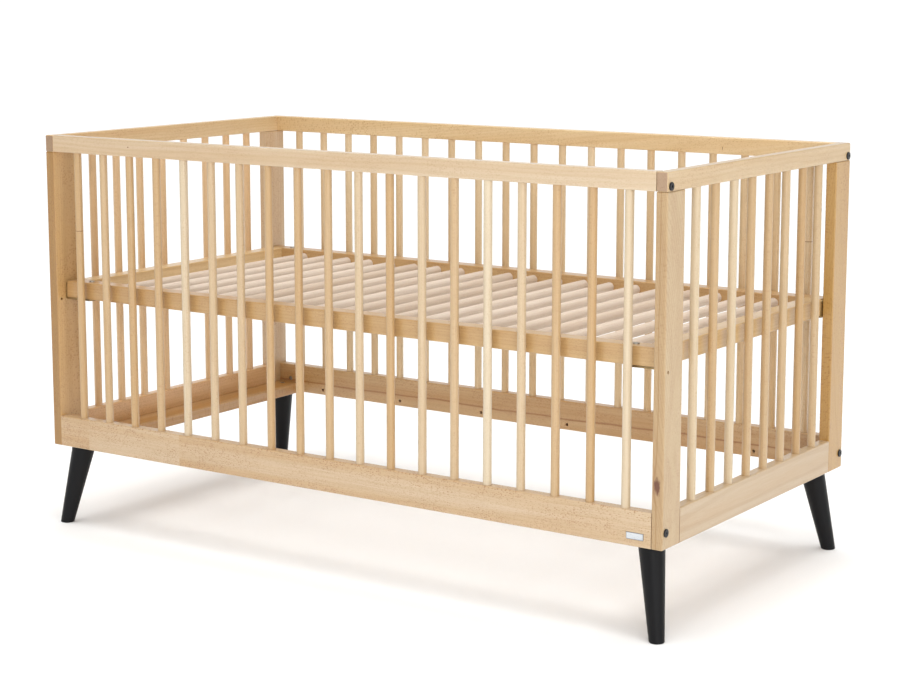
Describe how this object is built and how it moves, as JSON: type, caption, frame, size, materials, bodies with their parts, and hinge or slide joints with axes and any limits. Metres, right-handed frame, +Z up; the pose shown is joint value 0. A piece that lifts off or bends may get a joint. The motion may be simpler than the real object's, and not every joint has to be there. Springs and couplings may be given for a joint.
{
  "type": "baby crib",
  "caption": "Free-standing beech crib with round spindles on all sides, splayed black legs and a rod bed base whose height can be set.",
  "frame": {"origin": "on the floor, under the middle of the crib", "axes": "+X along the crib to its right end, +Y from the front to the back, +Z up"},
  "size_m": [1.4588, 0.752, 0.822],
  "materials": {
    "rail_beech": "clear satin lacquer",
    "spindle_beech": "clear satin lacquer",
    "base_rail_wood": "clear satin lacquer",
    "pale_rod": "sanded, unlacquered",
    "dowel_beech": "turned, unlacquered",
    "black_leg": "black satin lacquer",
    "black_bolt": "black satin",
    "zinc_steel": "zinc plated",
    "bracket_steel": "yellow zinc plated"
  },
  "bodies": {
    "frame": {"back_bottom_rail": "rail_beech", "back_left_leg": "black_leg", "back_right_leg": "black_leg", "back_spindles": "spindle_beech", "back_top_rail": "rail_beech", "bottom_barrel_nuts": "zinc_steel", "front_bottom_rail": "rail_beech", "front_left_leg": "black_leg", "front_right_leg": "black_leg", "front_spindles": "spindle_beech", "front_top_rail": "rail_beech", "left_back_post": "rail_beech", "left_bottom_rail": "rail_beech", "left_dowels": "dowel_beech", "left_frame_bolts": "black_bolt", "left_front_post": "rail_beech", "left_leg_board": "rail_beech", "left_locating_dowels": "dowel_beech", "left_spindles": "spindle_beech", "left_top_rail": "rail_beech", "leg_hanger_bolts": "zinc_steel", "leg_inserts": "zinc_steel", "right_back_post": "rail_beech", "right_bottom_rail": "rail_beech", "right_dowels": "dowel_beech", "right_frame_bolts": "black_bolt", "right_front_post": "rail_beech", "right_leg_board": "rail_beech", "right_locating_dowels": "dowel_beech", "right_spindles": "spindle_beech", "right_top_rail": "rail_beech", "top_barrel_nuts": "zinc_steel"},
    "base": {"base_back_left_bracket": "bracket_steel", "base_back_rail": "base_rail_wood", "base_back_right_bracket": "bracket_steel", "base_bolts": "zinc_steel", "base_dowels": "dowel_beech", "base_front_left_bracket": "bracket_steel", "base_front_rail": "base_rail_wood", "base_front_right_bracket": "bracket_steel", "base_left_rail": "base_rail_wood", "base_right_rail": "base_rail_wood", "base_rods": "pale_rod"}
  },
  "joints": [
    {"name": "base_height", "type": "slide", "parent": "frame", "child": "base", "axis": [0, 0, 1], "range_m": [-0.2875, 0]}
  ]
}
